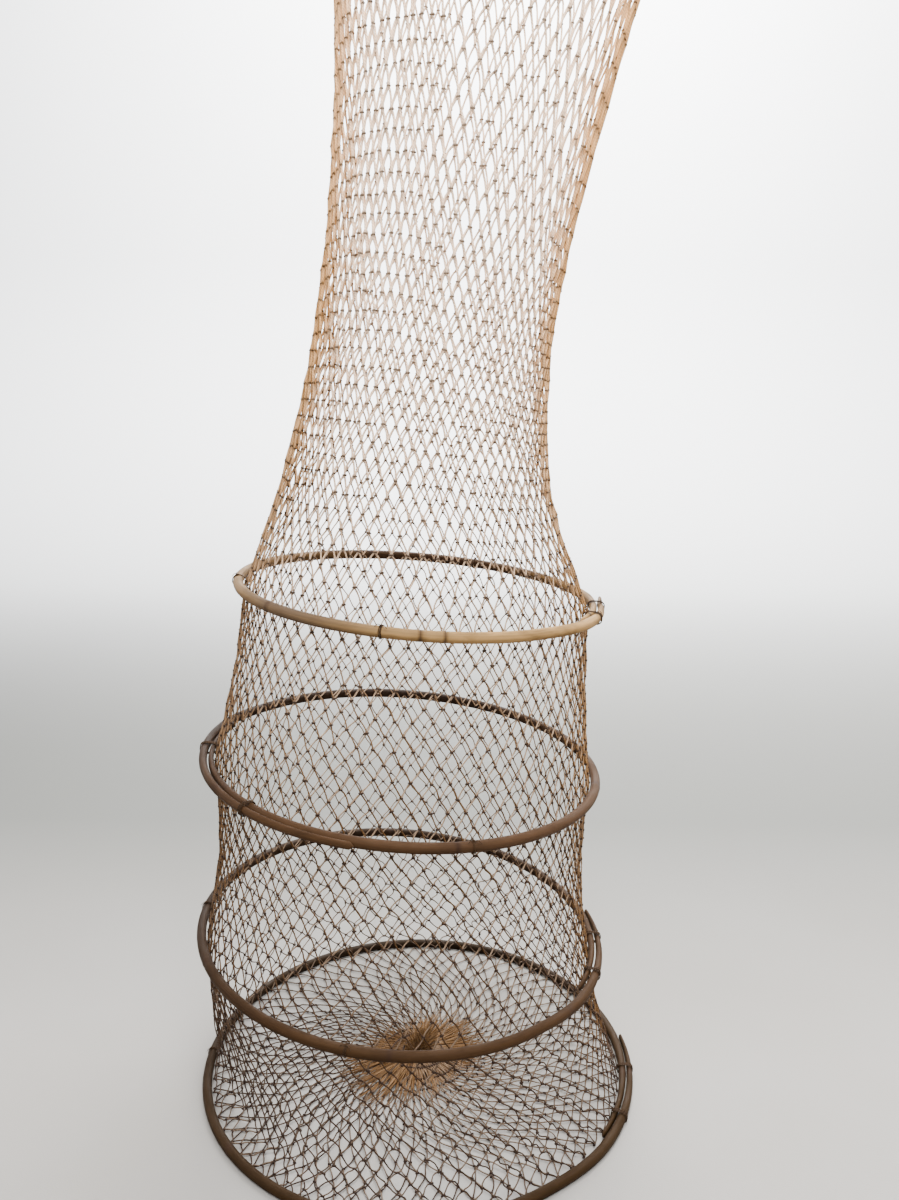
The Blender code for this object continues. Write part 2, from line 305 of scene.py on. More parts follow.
def tubes(paths, radii, normals, sides):
    """Points, quads and grain of round tubes along paths (tubes, steps, 3)."""
    count, steps, _ = paths.shape
    along = unit(np.gradient(paths, axis=1))
    out = unit(normals - np.sum(normals * along, axis=-1, keepdims=True) * along)
    across = np.cross(along, out)
    around = 2 * np.pi * np.arange(sides) / sides
    radii = np.broadcast_to(radii, (count, steps))[:, :, None, None]
    round_about = (
        out[:, :, None, :] * np.cos(around)[:, None] + across[:, :, None, :] * np.sin(around)[:, None]
    )
    points = paths[:, :, None, :] + radii * round_about
    length = np.linalg.norm(np.diff(paths, axis=1), axis=-1).cumsum(axis=1)
    length = np.concatenate([np.zeros((count, 1)), length], axis=1) + RANDOM.random((count, 1))
    grain = np.empty((count, steps, sides, 3))
    grain[..., 0] = length[:, :, None]
    grain[..., 1] = radii[..., 0] * np.cos(around)
    grain[..., 2] = radii[..., 0] * np.sin(around)
    starts = (np.arange(count) * steps * sides)[:, None, None]
    quads = (ring_quads(steps, sides)[None] + starts).reshape(-1, 4)
    return points.reshape(-1, 3), quads, grain.reshape(-1, 3)


def joined(parts):
    """Several (points, quads, tones, grain) as one."""
    points, tones, grain = (np.concatenate([part[k] for part in parts]) for k in (0, 2, 3))
    starts = np.cumsum([0] + [len(part[0]) for part in parts[:-1]])
    quads = np.concatenate([part[1] + start for part, start in zip(parts, starts)])
    return points, quads, tones, grain


# Materials


class Graph:
    """A material's nodes, made one after another."""

    def __init__(self, name):
        self.material = bpy.data.materials.new(name)
        self.material.use_nodes = True
        self.nodes = self.material.node_tree.nodes
        self.links = self.material.node_tree.links
        self.surface = self.nodes["Principled BSDF"]

    def add(self, kind, settings=None, **inputs):
        node = self.nodes.new(kind)
        for key, value in (settings or {}).items():
            setattr(node, key, value)
        for key, value in inputs.items():
            self.feed(node.inputs[key.replace("_", " ")], value)
        return node

    def feed(self, socket, value):
        if isinstance(value, bpy.types.NodeSocket):
            self.links.new(value, socket)
        else:
            socket.default_value = value

    def math(self, operation, a, b=0.0):
        node = self.nodes.new("ShaderNodeMath")
        node.operation = operation
        self.feed(node.inputs[0], a)
        self.feed(node.inputs[1], b)
        return node.outputs[0]

    def blend(self, share, a, b, kind="MIX"):
        node = self.nodes.new("ShaderNodeMix")
        node.data_type = "RGBA"
        node.blend_type = kind
        sockets = [socket for socket in node.inputs if socket.enabled]
        for socket, value in zip(sockets, (share, a, b)):
            self.feed(socket, value)
        return next(socket for socket in node.outputs if socket.enabled)

    def ramp(self, value, low, high):
        node = self.add("ShaderNodeMapRange", From_Min=low, From_Max=high)
        self.feed(node.inputs["Value"], value)
        return node.outputs["Result"]

    def noise(self, vector, scale, detail=3.0):
        node = self.add("ShaderNodeTexNoise", Scale=scale, Detail=detail)
        self.feed(node.inputs["Vector"], vector)
        return node.outputs["Fac"]

    def attribute(self, name):
        node = self.add("ShaderNodeAttribute", {"attribute_name": name})
        return node.outputs["Vector"]

    def stretched(self, vector, factors):
        node = self.add("ShaderNodeVectorMath", {"operation": "MULTIPLY"})
        self.feed(node.inputs[0], vector)
        node.inputs[1].default_value = factors
        return node.outputs[0]

    def split(self, vector):
        node = self.add("ShaderNodeSeparateXYZ")
        self.feed(node.inputs[0], vector)
        return node.outputs

    def finish(self, colour, roughness, height, distance):
        self.feed(self.surface.inputs["Base Color"], colour)
        self.feed(self.surface.inputs["Roughness"], roughness)
        bump = self.add("ShaderNodeBump", Strength=0.6, Distance=distance)
        self.feed(bump.inputs["Height"], height)
        self.links.new(bump.outputs["Normal"], self.surface.inputs["Normal"])
        return self.material


def linear(red, green, blue):
    """A colour given as 0 to 255 display values, for a shader."""
    values = []
    for value in (red, green, blue):
        value /= 255.0
        values.append(value / 12.92 if value <= 0.04045 else ((value + 0.055) / 1.055) ** 2.4)
    return (*values, 1.0)


def twine_material(name, dark, pale, gold):
    """Laid twine. tones: how pale, from its bleaching and painted light and shade, how gold, from its own
    colour and painted side light, and how dark a knot is.
    """
    g = Graph(name)
    bleached_and_lit, gold_and_side_light, knotted = g.split(g.attribute("tones"))
    grain = g.attribute("grain")
    along, out, across = g.split(grain)
    turned = g.math("ARCTAN2", across, out)
    lay = g.math("SINE", g.math("ADD", g.math("MULTIPLY", along, 3000.0), g.math("MULTIPLY", turned, 2.0)))
    fibre = g.noise(g.stretched(grain, (400.0, 5000.0, 5000.0)), 1.0)
    patches = g.noise(g.stretched(grain, (60.0, 60.0, 60.0)), 1.0)
    colour = g.blend(bleached_and_lit, dark, pale)
    colour = g.blend(gold_and_side_light, colour, gold)
    colour = g.blend(g.ramp(patches, 0.35, 0.75), colour, g.blend(0.06, colour, pale))
    # Painted shade in the grooves of the twine's lay; worn below is that shaded colour.
    shade = g.ramp(lay, -1.0, 1.4)
    worn = g.blend(shade, g.blend(0.55, colour, dark), colour)
    colour = g.blend(0.6, colour, worn)
    colour = g.blend(knotted, colour, linear(34, 24, 19))
    height = g.math("ADD", g.math("MULTIPLY", lay, 0.5), fibre)
    g.surface.inputs["Specular IOR Level"].default_value = 0.06
    return g.finish(colour, g.ramp(fibre, -0.5, 1.2), height, 0.0002)


def bamboo_material(name, dark, pale, bloom):
    """Bamboo rod. tones: how pale, how dark at a node or crack, and how much grey bloom."""
    g = Graph(name)
    paleness, burnt, grey = g.split(g.attribute("tones"))
    grain = g.attribute("grain")
    fibre = g.noise(g.stretched(grain, (25.0, 1600.0, 1600.0)), 1.0, 6.0)
    streak = g.noise(g.stretched(grain, (9.0, 420.0, 420.0)), 1.0, 3.0)
    blotch = g.noise(g.stretched(grain, (45.0, 160.0, 160.0)), 1.0, 4.0)
    share = g.math("ADD", paleness, g.math("MULTIPLY", g.math("SUBTRACT", streak, 0.5), 0.7))
    colour = g.blend(g.ramp(share, 0.0, 1.0), dark, pale)
    colour = g.blend(g.math("MULTIPLY", g.ramp(blotch, 0.48, 0.72), 0.45), colour, dark)
    colour = g.blend(g.math("MULTIPLY", g.ramp(fibre, 0.5, 0.8), 0.5), colour, g.blend(0.5, colour, dark))
    colour = g.blend(grey, colour, g.blend(0.65, colour, bloom))
    colour = g.blend(burnt, colour, g.blend(0.85, colour, linear(38, 24, 16)))
    height = g.math("ADD", fibre, g.math("MULTIPLY", blotch, 0.5))
    g.surface.inputs["Specular IOR Level"].default_value = 0.07
    return g.finish(colour, g.ramp(blotch, -0.6, 1.1), height, 0.0004)


BAMBOO = {
    "top": bamboo_material("bamboo_straw", linear(44, 28, 15), linear(152, 119, 74), linear(82, 68, 54)),
    "middle": bamboo_material("bamboo_brown", linear(30, 19, 10), linear(69, 47, 27), linear(66, 48, 34)),
    "lower": bamboo_material("bamboo_dark", linear(29, 18, 8), linear(58, 38, 18), linear(52, 36, 21)),
    "bottom": bamboo_material("bamboo_olive", linear(27, 17, 6), linear(48, 31, 10), linear(40, 27, 12)),
}
NETTING = twine_material("netting_twine", linear(30, 15, 6), linear(255, 223, 192), linear(230, 160, 62))
BINDING = twine_material("binding_twine", linear(24, 16, 10), linear(88, 64, 40), linear(120, 84, 44))


# Hoops


def lap_of(hoop):
    """How far round its hoop a rod runs beside itself, in radians."""
    return hoop["lap_steps"] * 2 * math.pi / TURN_STEPS


def rod_section(hoop, turn):
    """Half width, offset and half height of a rod, as in the CAD part, turn radians from its inner tip."""
    lap = lap_of(hoop)
    lead = LEAD_STEPS * 2 * math.pi / TURN_STEPS
    if turn < lap:
        width = mix(ROD_TIP, ROD_RADIUS, turn / lap)
        offset = width - ROD_RADIUS
    elif turn <= 2 * math.pi:
        width = ROD_RADIUS
        passing = 2 * ROD_TIP + LAP_GAP
        offset = passing * float(smooth((turn - 2 * math.pi + lead) / lead))
    else:
        share = (turn - 2 * math.pi) / lap
        width = mix(ROD_RADIUS, ROD_TIP, share)
        offset = 2 * mix(ROD_TIP, ROD_RADIUS, share) + LAP_GAP + width - ROD_RADIUS
        offset += hoop["spring"] * float(smooth((share - SPRING_FROM) / (1.0 - SPRING_FROM)))
    height = ROD_RADIUS * mix(TIP_HEIGHT, 1.0, (width - ROD_TIP) / (ROD_RADIUS - ROD_TIP))
    return width, offset, height


def rod(name, hoop):
    """A bent bamboo rod with its nodes, a flattened inner face, and shaved ends."""
    start = math.radians(hoop["lap_start"])
    lap = lap_of(hoop)
    steps, sides = ROD_STEPS, ROD_SIDES
    turns = np.linspace(0.0, 2 * math.pi + lap, steps)
    around = 2 * np.pi * np.arange(sides) / sides
    sections = np.array([rod_section(hoop, turn) for turn in turns])
    angle = start + turns
    slow = sum(np.sin(angle * k + RANDOM.uniform(0, 6.28)) * ROD_WAVE / k for k in (2, 3, 5))
    swell = np.zeros(steps)
    burnt = np.zeros(steps)
    for node in hoop["nodes"]:
        away = turned_from(math.radians(node), angle) * hoop["radius"]
        swell += RIDGE * hump(away, RIDGE_SPREAD) - GROOVE * hump(away - GROOVE_AT, GROOVE_SPREAD)
        burnt += hump(away - SCORCH_AT, SCORCH_SPREAD) + 0.25 * hump(away, 0.006)
    size = (ROD_SIZE + slow + swell)[:, None]
    tip = np.minimum(turns, turns[::-1]) * hoop["radius"]
    size = size * np.sqrt(np.clip(tip / TIP_ROUND, 0.0, 1.0) + 1e-4)[:, None]
    flat = 1.0 - FLATTENED * np.clip(-np.cos(around), 0, 1) ** 2
    width = sections[:, 0, None] * size
    height = sections[:, 2, None] * size
    radius = hoop["radius"] + sections[:, 1, None] + width * np.cos(around) * flat
    up = height * np.sin(around)
    if name == "bottom":
        up = np.maximum(up, -FLAT_DEPTH)
    points = ring_points(placed(hoop["middle"], hoop["lean"]), radius, angle[:, None], up)
    quads = np.roll(ring_quads(steps, sides)[:, ::-1], 1, axis=1)  # these rings turn the other way
    grain = np.empty((steps, sides, 3))
    grain[..., 0] = (turns * hoop["radius"])[:, None] + 3.0 * hoop["radius"]
    grain[..., 1] = width * np.cos(around)
    grain[..., 2] = up
    pale, bloom = tones_round(name, angle)
    tones = np.empty((steps, sides, 3))
    tones[..., 0] = pale[:, None]
    tones[..., 1] = np.clip(burnt, 0, 1)[:, None]
    tones[..., 2] = bloom[:, None]
    return add_mesh(
        f"{name}_hoop_bamboo", points.reshape(-1, 3), quads, BAMBOO[name],
        tones.reshape(-1, 3), grain.reshape(-1, 3),
    )


def tones_round(label, angle):
    """How pale a rod is at angles round its hoop, with painted shade on its back half and at its left end,
    and how much grey bloom it has.
    """
    paleness, back_shade, patches = TONES[label]
    # Painted shade over the back half of the hoop.
    pale = paleness - back_shade * bump_at(angle, math.radians(90), 1.35)
    bloom = np.zeros_like(angle)
    for middle, spread, darker, greyer in patches:
        patch = bump_at(angle, math.radians(middle), spread)
        pale = pale - darker * patch
        bloom = bloom + greyer * patch
    return pale, bloom


def wrap_places(hoop):
    start = math.radians(hoop["lap_start"])
    lap = lap_of(hoop)
    places = [(start + lap * share, LASHING_TURNS, True) for share in LASHING_AT]
    places += [(math.radians(angle), TIE_TURNS, False) for angle in hoop["ties"]]
    return places


def wrap(name, hoop, place, flat):
    """Turns of twine round a rod, or round both rods of a lap, with a knot and two cut ends."""
    middle, turns, lapped = place
    width, offset, fullness = ROD_RADIUS, 0.0, 1.0
    if lapped:
        width = ROD_RADIUS + ROD_TIP + LAP_GAP / 2
        offset = width - ROD_RADIUS
        fullness = SQUARED
    steps = turns * WRAP_STEPS
    around = np.linspace(0, 2 * np.pi * turns, steps)
    along = np.linspace(-0.5, 0.5, steps) * turns * TWINE * 1.02
    along += 0.0002 * np.sin(around * 0.37 + middle * 5)
    grow = SNUG + TWINE / 2 + 0.00012 * np.sin(around * 0.61 + middle)
    across = np.sign(np.cos(around)) * np.abs(np.cos(around)) ** fullness
    over = np.sign(np.sin(around)) * np.abs(np.sin(around)) ** fullness
    radius = hoop["radius"] + offset + (width + grow) * across
    if not lapped:
        radius = radius - NET_HOLD * np.clip(-across, 0, 1) ** 4
    up = (ROD_RADIUS + grow) * over
    at = placed(hoop["middle"], hoop["lean"])
    winding = ring_points(at, radius, middle + along / hoop["radius"], up)
    centre = ring_points(at, hoop["radius"] + offset, middle, 0.0)
    parts = []
    for path, thick in [(winding, TWINE * 0.5)] + ends(at, hoop, middle, offset, width, lapped):
        path = path[None]
        points, quads, grain = tubes(path, thick, unit(path - centre), WRAP_SIDES)
        tones = np.zeros_like(points)
        tones[:, 0] = 0.2 + 0.3 * RANDOM.random()
        tones[:, 2] = 0.25
        parts.append((points, quads, tones, grain))
    points, quads, tones, grain = joined(parts)
    if flat:
        points[:, 2] = np.maximum(points[:, 2], 0.0)
    return add_mesh(name, points, quads, BINDING, tones, grain)


def ends(at, hoop, middle, offset, width, lapped):
    """The knot on top of a wrap, as two crossed loops, and its two cut ends."""
    found = []
    share = np.linspace(0, 1, 14)
    reach = LASHING_END if lapped else TIE_END
    loop_across, loop_along, loop_up = KNOT_LOOP
    for side in (-1, 1):
        bend = 2 * np.pi * share
        radius = hoop["radius"] + offset + 0.35 * width + loop_across * np.cos(bend)
        swing = middle + side * loop_along * np.sin(bend) / hoop["radius"]
        up = ROD_RADIUS * KNOT_LIFT + TWINE * 1.5 + side * loop_up * np.cos(bend)
        found.append((ring_points(at, radius, swing, up), TWINE * 0.45))
        radius = hoop["radius"] + offset + 0.35 * width + reach * share * (0.5 + 0.3 * side)
        swing = middle + side * reach * share / hoop["radius"]
        up = ROD_RADIUS * KNOT_LIFT + TWINE * 1.6 + 0.0012 * np.sin(3 * share) - 0.001 * share**2
        found.append((ring_points(at, radius, swing, up), TWINE * mix(0.45, 0.3, share)))
    return found


# Netting


def sleeve_ring(height):
    """Radius and shift of the sleeve at a height over the top hoop, on the CAD part's curve."""
    spans = len(SLEEVE) - 1
    slopes = []
    for index in range(len(SLEEVE)):
        before, after = SLEEVE[max(index - 1, 0)], SLEEVE[min(index + 1, spans)]
        slopes.append([(after[k] - before[k]) / (after[0] - before[0]) for k in (1, 2)])
    span = max(k for k in range(spans) if height >= SLEEVE[k][0] or k == 0)
    low, high = SLEEVE[span], SLEEVE[span + 1]
    length = high[0] - low[0]
    t = (height - low[0]) / length
    return [
        (2 * t**3 - 3 * t**2 + 1) * low[k + 1]
        + (t**3 - 2 * t**2 + t) * length * slopes[span][k]
        + (3 * t**2 - 2 * t**3) * high[k + 1]
        + (t**3 - t**2) * length * slopes[span + 1][k]
        for k in (0, 1)
    ]


def sleeve_row(share, angle, loose):
    """Knots of one row of the sleeve. share is 0 at the mouth and 1 at the top hoop.

    The upper rows sag at the right, and each knot keeps to the CAD curve at its own height.
    """
    down = share + ROW_TIGHTENING * share * (1.0 - share)
    height = (1.0 - down) * SLEEVE[-1][0]
    hung = smooth(share / 0.12) * smooth((1.0 - share) / 0.1)
    sagging = (1.0 - max(1.0 - share / 0.30, 0.0) ** 1.5) * (1.0 - smooth((share - 0.30) / 0.60))
    past = (angle - SAG_FROM) % (2 * math.pi)
    risen = smooth((past - SAG_FALL - SAG_HOLD) / (2 * math.pi - SAG_FALL - SAG_HOLD))
    fall = smooth(past / SAG_FALL) * (1.0 - risen)
    heights = height - SAG * sagging * fall
    radius, shift = np.array([sleeve_ring(each) for each in heights]).T
    crease = -SAG_CREASE * sagging * bump_at(angle, SAG_FROM, 0.25)
    reach = radius - SLEEVE_INSET + crease + SLEEVE_LOOSE[0] * hung * loose[0]
    top = HOOPS["top"]
    up = SLEEVE_LOOSE[1] * hung * loose[1]
    points = ring_points(placed(top["middle"], top["lean"]), reach, angle, up)
    return points + np.stack([shift, np.zeros_like(shift), heights], axis=-1)


def wall_row(above, below, waist, hangs):
    """A function that gives the knots of one row of the netting between two hoops.

    hangs gives how far the netting stands out, and how far its knots are raised as a share of the tier.
    """
    top, low = Vector(above["middle"]), Vector(below["middle"])
    if below["lean"] == LEVEL:
        low.z = BOTTOM_Z

    def row(share, angle, loose):
        held = math.sin(math.pi * share)
        lean = tuple(mix(a, b, share) for a, b in zip(above["lean"], below["lean"]))
        radius = mix(above["radius"], below["radius"], share) - NET_INSET - waist * held
        out, up = hangs(share, angle)
        radius = radius + WALL_LOOSE[0] * loose[0] * held + out
        up = up * (top.z - low.z) + WALL_LOOSE[1] * held * loose[1]
        return ring_points(placed(top.lerp(low, share), lean), radius, angle, up)

    return row


def bottom_row(share, angle, loose):
    """Knots of one row of the bottom, from the hoop in to the gather."""
    outer = HOOPS["bottom"]["radius"] - NET_INSET
    held = math.sin(math.pi * share)
    ripple = 0.004 * held * np.sin(3 * angle + 9 * share) + 0.0018 * held * loose[1]
    radius = mix(outer, 0.012, share**0.95) + ripple
    lift = 0.0006 * np.abs(loose[0]) * held + 0.007 * float(smooth((share - 0.72) / 0.28)) ** 2
    swirl = -0.45 * float(smooth((share - 0.1) / 0.9))
    return ring_points(placed((0, 0, BOTTOM_Z), LEVEL), radius, angle + swirl, lift)


def density(angle, share, high):
    """Moves meshes round the tube, so that some are open and others drawn together."""
    turn = angle % (2 * math.pi)
    shift = 0.03 * np.sin(angle - 1.9) + 0.012 * np.sin(5 * angle + 3.0 * share)
    shift += 0.006 * np.sin(9 * angle - 4.0 * share + 1.0)
    opened = step_at(turn, math.radians(308), 0.9) - step_at(turn, math.radians(243), 0.6)
    return angle + shift + 0.24 * high * opened


def knots(rows, first, row_of, high):
    """(rows + 1, MESHES, 3) knots, and their angles. first is the count of rows above.

    high gives, at each share of the way down, how far the meshes are drawn together and opened.
    """
    points, angles = [], []
    for row in range(rows + 1):
        share = row / rows
        half = 0.5 * ((first + row) % 2)
        angle = 2 * np.pi * (np.arange(MESHES) + half) / MESHES
        wobble = RANDOM.normal(0, 0.05, MESHES) * 2 * np.pi / MESHES
        ends_held = math.sin(math.pi * share) if 0 < row < rows else 0.0
        angle = density(angle + wobble * ends_held, share, high(share))
        loose = RANDOM.normal(0, 0.5, (2, MESHES)).clip(-1, 1)
        points.append(row_of(share, angle, loose))
        angles.append(angle)
    return np.array(points), np.array(angles)


def outward(points, angles):
    """The way out of the netting at each knot."""
    round_about = np.roll(points, -1, axis=1) - np.roll(points, 1, axis=1)
    down = np.gradient(points, axis=0)
    normal = np.cross(round_about, down)
    out = np.stack([np.cos(angles), np.sin(angles), np.zeros_like(angles)], axis=-1)
    flip = np.where(np.sum(normal * out, axis=-1, keepdims=True) < 0, -1.0, 1.0)
    return unit(normal * flip)


def bars(points, normals, first, sag, arch):
    """The netting's strands, as paths (strands, BAR_STEPS, 3) from knot down to knot.

    arch is from 0, straight strands, to 1, strands that spread at their upper knot and then hang.
    """
    starts, stops, middles, outs = [], [], [], []
    for row in range(len(points) - 1):
        odd = (first + row) % 2
        lower = [np.roll(points[row + 1], -step, axis=0) for step in (0, 1 if odd else -1)]
        for step, stop in zip((0, 1 if odd else -1), lower):
            starts.append(points[row])
            stops.append(stop)
            middles.append((lower[0] + lower[1]) / 2)
            outs.append(normals[row] + np.roll(normals[row + 1], -step, axis=0))
    start, stop, middle = np.concatenate(starts), np.concatenate(stops), np.concatenate(middles)
    out = unit(np.concatenate(outs))
    share = np.array(BAR_AT)[None, :, None]
    sideways = share + arch * ((1.0 - (1.0 - share) ** 2) - share)
    paths = start[:, None] + (middle - start)[:, None] * share + (stop - middle)[:, None] * sideways
    side = unit(np.cross(stop - start, out))
    bulge = 4 * share * (1 - share)
    sway = np.sin(2 * np.pi * share)
    loose = RANDOM.normal(0, 1, (3, len(start), 1, 1)).clip(-1.8, 1.8)
    paths = paths + (side[:, None] * loose[0] + out[:, None] * 0.5 * loose[1]) * bulge * sag
    paths = paths + side[:, None] * loose[2] * sway * sag * 0.5
    return paths, np.repeat(out[:, None], BAR_STEPS, axis=1)


def worn(height):
    """How much wider the twine is at a height than it is low in the net."""
    return mix(1.0, WORN, smooth((height - 0.38) / 0.25))


def knot_blobs(points, normals):
    """A collar of twine at each knot, round the strands that meet there."""
    points, normals = points.reshape(-1, 3), normals.reshape(-1, 3)
    count = len(points)
    bend = 2 * np.pi * np.arange(KNOT_STEPS) / (KNOT_STEPS - 1)
    up = np.tile([0.0, 0.0, 1.0], (count, 1))
    sideways = unit(np.cross(up, normals) + 1e-9)
    up = unit(np.cross(normals, sideways))
    tilt = RANDOM.normal(0, 0.35, (count, 1, 1))
    size = RANDOM.uniform(0.85, 1.2, (count, 1, 1))
    across = sideways[:, None] * np.cos(bend)[:, None] * KNOT_REACH * size
    deep = normals[:, None] * np.sin(bend)[:, None] * KNOT_DEPTH * size
    rise = up[:, None] * (np.cos(bend)[:, None] * tilt + 0.3 * np.sin(2 * bend)[:, None]) * KNOT_RISE
    paths = points[:, None] + across + deep + rise
    outs = unit(paths - points[:, None])
    return tubes(paths, KNOT_RADIUS * mix(1.0, worn(points[:, 2:]), 0.6), outs, BAR_SIDES)


def tone_of(points, knot, slant=0.0):
    """Paler towards the mouth and darker low down, partly as painted light and shade; painted gold light
    and shade at the two sides; darker in the knots.

    slant is above 0 on the strands that run down to the right, which are the darker ones.
    """
    x, y, z = points.T
    high = smooth((z - 0.36) / 0.34)
    far = smooth(y / 0.12)
    middle = np.interp(z, *TUBE_SHIFT)
    half = np.interp(z, *TUBE_HALF_WIDTH)
    side = smooth((np.abs(x - middle) / half - 0.70) / 0.28)
    tones = np.empty_like(points)
    # Painted shade on the netting's sides low down, deeper at the left.
    side_shade = side * (1.0 - smooth((z - 0.56) / 0.30)) * np.where(x < middle, 0.65, 0.5)
    # Painted light: strands on the far side are paler.
    bleached_and_lit = np.interp(z, *BLEACHED_AND_LIT) + np.interp(z, *CONTRAST) * (far - slant)
    tones[:, 0] = bleached_and_lit * (1.0 - side_shade)
    inner = smooth((0.085 - np.hypot(x, y)) / 0.05) * (1.0 - smooth(z / 0.03))
    # Painted gold light on the sides, stronger at the right and up the sleeve.
    gold_and_side_light = np.where(x < middle, 0.02, 0.12) + 0.50 * high
    tones[:, 1] = 0.09 * smooth(z / 0.40) + side * gold_and_side_light * smooth(z / 0.1) + 0.06 * inner
    tones[:, 2] = knot * (1.0 - 0.12 * high)
    return tones


def netting(name, grid, angles, first, sag, knot_rows, arch=0.2):
    """One section of netting, with its knots on the rows that it carries."""
    normals = outward(grid, angles)
    paths, outs = bars(grid, normals, first, sag, arch)
    thick = STRAND * worn(paths[:, :, 2]) * np.array(BAR_WIDTHS)
    points, quads, grain = tubes(paths, thick, outs, BAR_SIDES)
    run = paths[:, -1] - paths[:, 0]
    slant = np.tanh(4.0 * run[:, 0] / np.linalg.norm(run, axis=-1))
    rooted = np.tile(np.repeat(BAR_SHADE, BAR_SIDES), len(paths))
    parts = [(points, quads, tone_of(points, rooted, np.repeat(slant, BAR_STEPS * BAR_SIDES)), grain)]
    points, quads, grain = knot_blobs(grid[knot_rows], normals[knot_rows])
    parts.append((points, quads, tone_of(points, 0.92), grain))
    points, quads, tones, grain = joined(parts)
    points[:, 2] = np.maximum(points[:, 2], 0.0)
    return add_mesh(name, points, quads, NETTING, tones, grain, (BAR_STEPS - 1) * BAR_SIDES)


def level(share):
    return 0.0


def taut(share, angle):
    return 0.0, 0.0


def slack(share, angle):
    """The lowest tier hangs slack: how far it stands out, and how far its knots are raised.

    It bellies out at the left. At the front left it reaches the floor inside the bottom hoop, and
    the rest of it lies folded back to the hoop.
    """
    belly = BELLY * bump_at(angle, math.radians(172), 0.35) * math.sin(math.pi * share)
    fold = bump_at(angle, math.radians(216), 0.55)
    reach = float(smooth(share / FOLD_AT) * (1.0 - smooth((share - FOLD_AT) / (1.0 - FOLD_AT))))
    height = max(1.0 - share / FOLD_AT, 0.02 * (1.0 - share) / (1.0 - FOLD_AT))
    return belly - FOLD_REACH * fold * reach, fold * (height - (1.0 - share))


def squashed(piece):
    """Gives a section of netting its own copy of its mesh."""
    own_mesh(piece)


def sleeve():
    rows = ROWS["sleeve"]
    grid, angles = knots(rows, 0, sleeve_row, lambda share: smooth((0.72 - share) / 0.5))
    cuts = [0, rows // 3, 2 * rows // 3, rows]
    for label, low, high in zip(("upper", "middle", "lower"), cuts, cuts[1:]):
        carried = slice(0, high - low + (high == rows))
        cut = slice(low, high + 1)
        piece = netting(f"sleeve_netting_{label}", grid[cut], angles[cut], low, 0.0004, carried, arch=0.6)
        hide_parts("sleeve_netting")
        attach(piece, "mouth")
        squashed(piece)


def walls():
    first = ROWS["sleeve"]
    tiers = (
        ("upper_wall", "top", "middle", taut, 0.0005),
        ("middle_wall", "middle", "lower", taut, 0.0006),
        ("lower_wall", "lower", "bottom", slack, 0.0011),
    )
    for label, above, below, hangs, sag in tiers:
        rows = ROWS[label]
        row_of = wall_row(HOOPS[above], HOOPS[below], WAISTS[label], hangs)
        grid, angles = knots(rows, first, row_of, level)
        piece = netting(f"{label}_net", grid, angles, first, sag, slice(1, rows + 1))
        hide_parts(f"{label}_netting")
        if label == "lower_wall":
            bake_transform(piece)
        else:
            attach(piece, f"{above}_hoop")
            squashed(piece)
        first += rows
    return first


def bottom(first):
    grid, angles = knots(ROWS["bottom"], first, bottom_row, level)
    piece = netting("bottom_net", grid, angles, first, 0.0007, slice(1, ROWS["bottom"] + 1))
    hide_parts("bottom_netting")
    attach(piece, "bottom_hoop")


def gather():
    """The drawn-in end of the netting: a mound of folded strands, with a tuft to the back right."""
    count, steps = GATHER_STRANDS, GATHER_STEPS
    share = np.linspace(0, 1, steps)[None]
    angle = (RANDOM.random((count, 1)) * 2 * np.pi) + 0.35 * RANDOM.normal(0, 1, (count, 1)) * share
    tuft = bump_at(angle, math.radians(50), 0.8)
    reach = 0.014 + 0.050 * RANDOM.random((count, 1)) ** 1.4 * (1.0 + 0.35 * np.cos(2 * angle - 1.6))
    radius = mix(reach, 0.0012 + 0.005 * RANDOM.random((count, 1)), smooth(share / 0.62))
    flare = smooth((share - 0.7) / 0.3)
    radius = radius + flare * RANDOM.uniform(-0.003, 0.010, (count, 1)) * (0.6 + 1.4 * tuft)
    height = 0.0015 + 0.0095 * smooth(share / 0.7) * RANDOM.uniform(0.5, 1.0, (count, 1))
    height = height + flare * RANDOM.uniform(0.001, 0.007, (count, 1)) * (1.0 + 1.2 * tuft)
    paths = np.stack([radius * np.cos(angle), radius * np.sin(angle), height], axis=-1)
    outs = np.tile([0.0, 0.0, 1.0], (count, steps, 1)) + 0.01
    thick = STRAND * mix(0.35, 0.9, smooth(share / 0.35))
    points, quads, grain = tubes(paths, np.repeat(thick, count, axis=0), outs, BAR_SIDES)
    tones = np.zeros_like(points)
    tones[:, 0] = np.repeat(RANDOM.uniform(0.0, 0.05, count), steps * BAR_SIDES)
    tones[:, 1] = 0.09
    piece = add_mesh("gathered_strands", points, quads, NETTING, tones, grain, (steps - 1) * BAR_SIDES)
    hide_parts("bottom_gather")
    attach(piece, "bottom_hoop")


def gather_binding():
    """Turns of twine round the gather's neck, side by side."""
    steps = NECK_TURNS * 90
    angle = np.linspace(0, 2 * np.pi * NECK_TURNS, steps)
    radius = GATHER_RADIUS * 0.30 + CLEAR + 0.0009 + 0.0001 * np.sin(7 * angle)
    up = np.linspace(-0.5, 0.5, steps) * NECK_TURNS * NECK_PITCH
    path = ring_points(placed(NECK, LEVEL), radius, angle, up)[None]
    points, quads, grain = tubes(path, NECK_TWINE, unit(path - np.array(NECK)), WRAP_SIDES)
    tones = np.zeros_like(points)
    tones[:, 0] = 0.35
    tones[:, 1] = 0.2
    binding = add_mesh("gather_binding_twine", points, quads, BINDING, tones, grain)
    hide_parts("gather_binding")
    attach(binding, "bottom_hoop")


